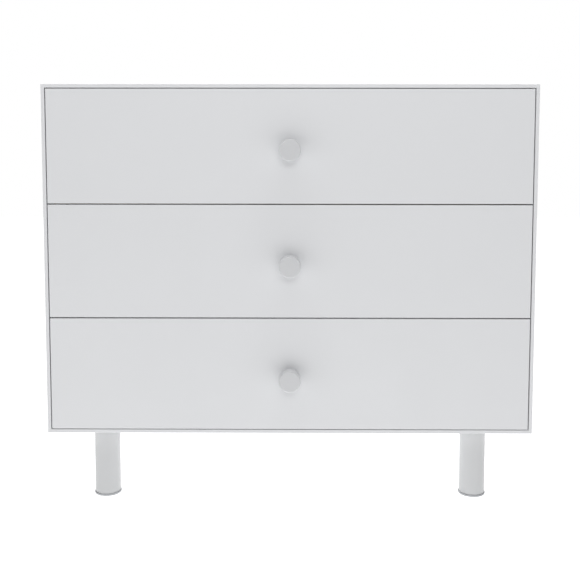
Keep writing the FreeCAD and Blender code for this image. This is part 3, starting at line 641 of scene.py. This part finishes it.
def grown(name, tree, points, marks, values, material, body):
    """Runs a tree on a cloud of points, and keeps the result as one plain mesh on a body. Marks are vectors
    and lengths that the points carry, and values are the tree's inputs by name."""
    cloud = bpy.data.meshes.new(f"{name}_points")
    cloud.from_pydata([tuple(p) for p in points], [], [])
    for mark, numbers in marks.items():
        kind, field = ("FLOAT_VECTOR", "vector") if np.ndim(numbers) == 2 else ("FLOAT", "value")
        data = cloud.attributes.new(mark, kind, "POINT").data
        data.foreach_set(field, np.ravel(numbers))
    carrier = bpy.data.objects.new(name, cloud)
    scene.collection.objects.link(carrier)
    grow = carrier.modifiers.new("grow", "NODES")
    grow.node_group = tree
    for item in tree.interface.items_tree:
        if item.in_out == "INPUT" and item.name in values:
            grow[item.identifier] = values[item.name]
        if item.in_out == "INPUT" and item.name == "Material":
            grow[item.identifier] = material
    bpy.context.view_layer.update()
    mesh = bpy.data.meshes.new_from_object(carrier.evaluated_get(bpy.context.evaluated_depsgraph_get()))
    carrier.modifiers.remove(grow)
    bpy.data.objects.remove(carrier)
    mesh.name = name
    mesh.polygons.foreach_set("use_smooth", [True] * len(mesh.polygons))
    mesh.set_sharp_from_angle(angle=math.radians(50))
    return new_piece(name, mesh, material, body)


POCKET_SPAN = 1.5
POCKET_DEPTH = 0.3
ball_rows = geometry_tree("ball_cage", {"Ball Diameter": "NodeSocketFloat", "Material": "NodeSocketMaterial"})
given = add(ball_rows, "NodeGroupInput")
ball_wide = given.outputs["Ball Diameter"]
radius = add(ball_rows, "ShaderNodeMath", {0: ball_wide, 1: 0.5}, operation="MULTIPLY")
ball = add(ball_rows, "GeometryNodeMeshUVSphere", {"Segments": 8, "Rings": 6, "Radius": radius.outputs[0]})
pocket_wide = add(ball_rows, "ShaderNodeMath", {0: ball_wide, 1: POCKET_SPAN}, operation="MULTIPLY")
pocket_thick = add(ball_rows, "ShaderNodeMath", {0: ball_wide, 1: POCKET_DEPTH}, operation="MULTIPLY")
pocket_size = add(ball_rows, "ShaderNodeCombineXYZ", {
    0: pocket_wide.outputs[0], 1: pocket_wide.outputs[0], 2: pocket_thick.outputs[0],
})
pocket = add(ball_rows, "GeometryNodeMeshCube", {"Size": pocket_size.outputs[0]})
held = add(ball_rows, "GeometryNodeJoinGeometry")
ball_rows.links.new(ball.outputs[0], held.inputs[0])
ball_rows.links.new(pocket.outputs[0], held.inputs[0])
laid = add(ball_rows, "GeometryNodeInstanceOnPoints", {
    "Points": given.outputs["Geometry"], "Instance": held.outputs[0],
})
solid = add(ball_rows, "GeometryNodeRealizeInstances", {"Geometry": laid.outputs[0]})
coated = add(ball_rows, "GeometryNodeSetMaterial", {
    "Geometry": solid.outputs[0], "Material": given.outputs["Material"],
})
add(ball_rows, "NodeGroupOutput", {"Geometry": coated.outputs[0]})

BALL = 2.2 * MM
BALL_ROOM = 2.5 * MM
STEEL = 1.2 * MM
BALL_PITCH = 3.2 * MM
BALLS = 40
for drawer in DRAWERS:
    places = []
    for points in loose_solids(f"middle_runners_{drawer}"):
        low, high = Vector(points.min(0)), Vector(points.max(0))
        x = (low.x + high.x) / 2
        halfway = (low.y + high.y) / 2
        for k in range(BALLS):
            outer_y = halfway + BALL_PITCH * (k + 1)
            inner_y = halfway - BALL_PITCH * (k + 1)
            places += [(x, outer_y, high.z + BALL_ROOM / 2), (x, outer_y, low.z - BALL_ROOM / 2)]
            within = STEEL + BALL_ROOM / 2
            places += [(x, inner_y, high.z - within), (x, inner_y, low.z + within)]
    body = f"{drawer}_runner_carriage"
    cage = grown(f"ball_cages_{drawer}", ball_rows, places, {}, {"Ball Diameter": BALL}, runner_zinc, body)

# ---------------------------------------------------------------------------------------------------------
# Screws. Zinc-plated pan-head wood screws with a cross recess hold the back, the runners and the drawer
# fronts, and one larger machine screw holds each knob. Each is driven to its own angle.

RECESS_LONG = 0.56
RECESS_THIN = 0.13
screws = geometry_tree("pan_head_screw", {
    "Head Diameter": "NodeSocketFloat", "Head Height": "NodeSocketFloat", "Shank Diameter": "NodeSocketFloat",
    "Material": "NodeSocketMaterial",
})
given = add(screws, "NodeGroupInput")
head_wide, head_tall = given.outputs["Head Diameter"], given.outputs["Head Height"]
shank_wide = given.outputs["Shank Diameter"]
head_radius = add(screws, "ShaderNodeMath", {0: head_wide, 1: 0.5}, operation="MULTIPLY").outputs[0]
flatten = add(screws, "ShaderNodeMath", {0: head_tall, 1: head_radius}, operation="DIVIDE").outputs[0]
dome = add(screws, "GeometryNodeMeshUVSphere", {"Segments": 32, "Rings": 16, "Radius": head_radius})
squash = add(screws, "ShaderNodeCombineXYZ", {0: 1, 1: 1, 2: flatten})
pan = add(screws, "GeometryNodeTransform", {"Geometry": dome.outputs[0], "Scale": squash.outputs[0]})
under_size = add(screws, "ShaderNodeCombineXYZ", {0: head_wide, 1: head_wide, 2: head_tall})
doubled = add(screws, "ShaderNodeVectorMath", {0: under_size.outputs[0], "Scale": 2}, operation="SCALE")
under_drop = add(screws, "ShaderNodeMath", {0: head_tall, 1: -1}, operation="MULTIPLY")
under_place = add(screws, "ShaderNodeCombineXYZ", {2: under_drop.outputs[0]})
under = add(screws, "GeometryNodeMeshCube", {"Size": doubled.outputs[0]})
lower_half = add(screws, "GeometryNodeTransform", {
    "Geometry": under.outputs[0], "Translation": under_place.outputs[0],
})
wing_long = add(screws, "ShaderNodeMath", {0: head_wide, 1: RECESS_LONG}, operation="MULTIPLY").outputs[0]
wing_thin = add(screws, "ShaderNodeMath", {0: head_wide, 1: RECESS_THIN}, operation="MULTIPLY").outputs[0]
wing_place = add(screws, "ShaderNodeCombineXYZ", {2: head_tall})
cutters = [lower_half]
for wing_size in ((wing_long, wing_thin), (wing_thin, wing_long)):
    size = add(screws, "ShaderNodeCombineXYZ", {0: wing_size[0], 1: wing_size[1], 2: head_tall})
    wing = add(screws, "GeometryNodeMeshCube", {"Size": size.outputs[0]})
    cutters.append(add(screws, "GeometryNodeTransform", {
        "Geometry": wing.outputs[0], "Translation": wing_place.outputs[0],
    }))
head = add(screws, "GeometryNodeMeshBoolean", {0: pan.outputs[0]}, operation="DIFFERENCE")
for cutter in cutters:
    screws.links.new(cutter.outputs[0], head.inputs[1])
shank_radius = add(screws, "ShaderNodeMath", {0: shank_wide, 1: 0.5}, operation="MULTIPLY").outputs[0]
shank = add(screws, "GeometryNodeMeshCylinder", {"Vertices": 16, "Radius": shank_radius, "Depth": 1.0})
sunk = add(screws, "GeometryNodeTransform", {"Geometry": shank.outputs[0], "Translation": (0, 0, -0.5)})
aim = add(screws, "GeometryNodeInputNamedAttribute", {"Name": "aim"}, data_type="FLOAT_VECTOR")
reach = add(screws, "GeometryNodeInputNamedAttribute", {"Name": "reach"}, data_type="FLOAT")
aimed = add(screws, "FunctionNodeAlignRotationToVector", {"Vector": aim.outputs[0]}, axis="Z")
angle = add(screws, "FunctionNodeRandomValue", {"Seed": 11}, data_type="FLOAT")
turn = add(screws, "ShaderNodeMath", {0: angle.outputs[1], 1: math.pi}, operation="MULTIPLY")
twist = add(screws, "ShaderNodeCombineXYZ", {2: turn.outputs[0]})
driven = add(screws, "FunctionNodeRotateRotation", {
    "Rotation": aimed.outputs[0], "Rotate By": twist.outputs[0],
}, rotation_space="LOCAL")
heads = add(screws, "GeometryNodeInstanceOnPoints", {
    "Points": given.outputs["Geometry"], "Instance": head.outputs[0], "Rotation": driven.outputs[0],
})
length = add(screws, "ShaderNodeCombineXYZ", {0: 1, 1: 1, 2: reach.outputs[0]})
shanks = add(screws, "GeometryNodeInstanceOnPoints", {
    "Points": given.outputs["Geometry"], "Instance": sunk.outputs[0], "Rotation": aimed.outputs[0],
    "Scale": length.outputs[0],
})
both = add(screws, "GeometryNodeJoinGeometry")
screws.links.new(heads.outputs[0], both.inputs[0])
screws.links.new(shanks.outputs[0], both.inputs[0])
solid = add(screws, "GeometryNodeRealizeInstances", {"Geometry": both.outputs[0]})
coated = add(screws, "GeometryNodeSetMaterial", {
    "Geometry": solid.outputs[0], "Material": given.outputs["Material"],
})
add(screws, "NodeGroupOutput", {"Geometry": coated.outputs[0]})

HEAD_TALL = 2 * MM


def seats(node_names):
    """Where each screw's head rests, which way it looks, and how far its shank reaches."""
    places, aims, reaches = [], [], []
    for node in node_names:
        for points in loose_solids(node):
            low, high = points.min(0), points.max(0)
            axis = int(np.argmax(high - low))
            others = [i for i in range(3) if i != axis]
            ends = [points[np.abs(points[:, axis] - end) < MM / 10] for end in (low[axis], high[axis])]
            spread = [np.ptp(end[:, others], axis=0).max() for end in ends]
            sign = 1 if spread[1] > spread[0] else -1
            place = (low + high) / 2
            place[axis] = (high[axis] if sign > 0 else low[axis]) - sign * HEAD_TALL
            aim = np.zeros(3)
            aim[axis] = sign
            places.append(place)
            aims.append(aim)
            reaches.append(high[axis] - low[axis] - HEAD_TALL)
    return places, {"aim": np.array(aims), "reach": np.array(reaches)}


WOOD_SCREW = {"Head Diameter": 7 * MM, "Head Height": HEAD_TALL, "Shank Diameter": 3.5 * MM}
KNOB_BOLT = {"Head Diameter": 8 * MM, "Head Height": HEAD_TALL, "Shank Diameter": 4 * MM}
screw_zinc = zinc_plate("bright_zinc_plated_screw", 4)
sets = [("case_screws", ["back_screws", "case_runner_screws"], WOOD_SCREW, "case")]
for drawer in DRAWERS:
    sets.append((f"{drawer}_wood_screws", [f"{drawer}_drawer_screws"], WOOD_SCREW, f"{drawer}_drawer"))
    sets.append((f"{drawer}_knob_screw", [f"{drawer}_drawer_knob_bolt"], KNOB_BOLT, f"{drawer}_drawer"))
for name, node_names, sizes, body in sets:
    places, marks = seats(node_names)
    piece = grown(name, screws, places, marks, sizes, screw_zinc, body)
    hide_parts(*node_names)
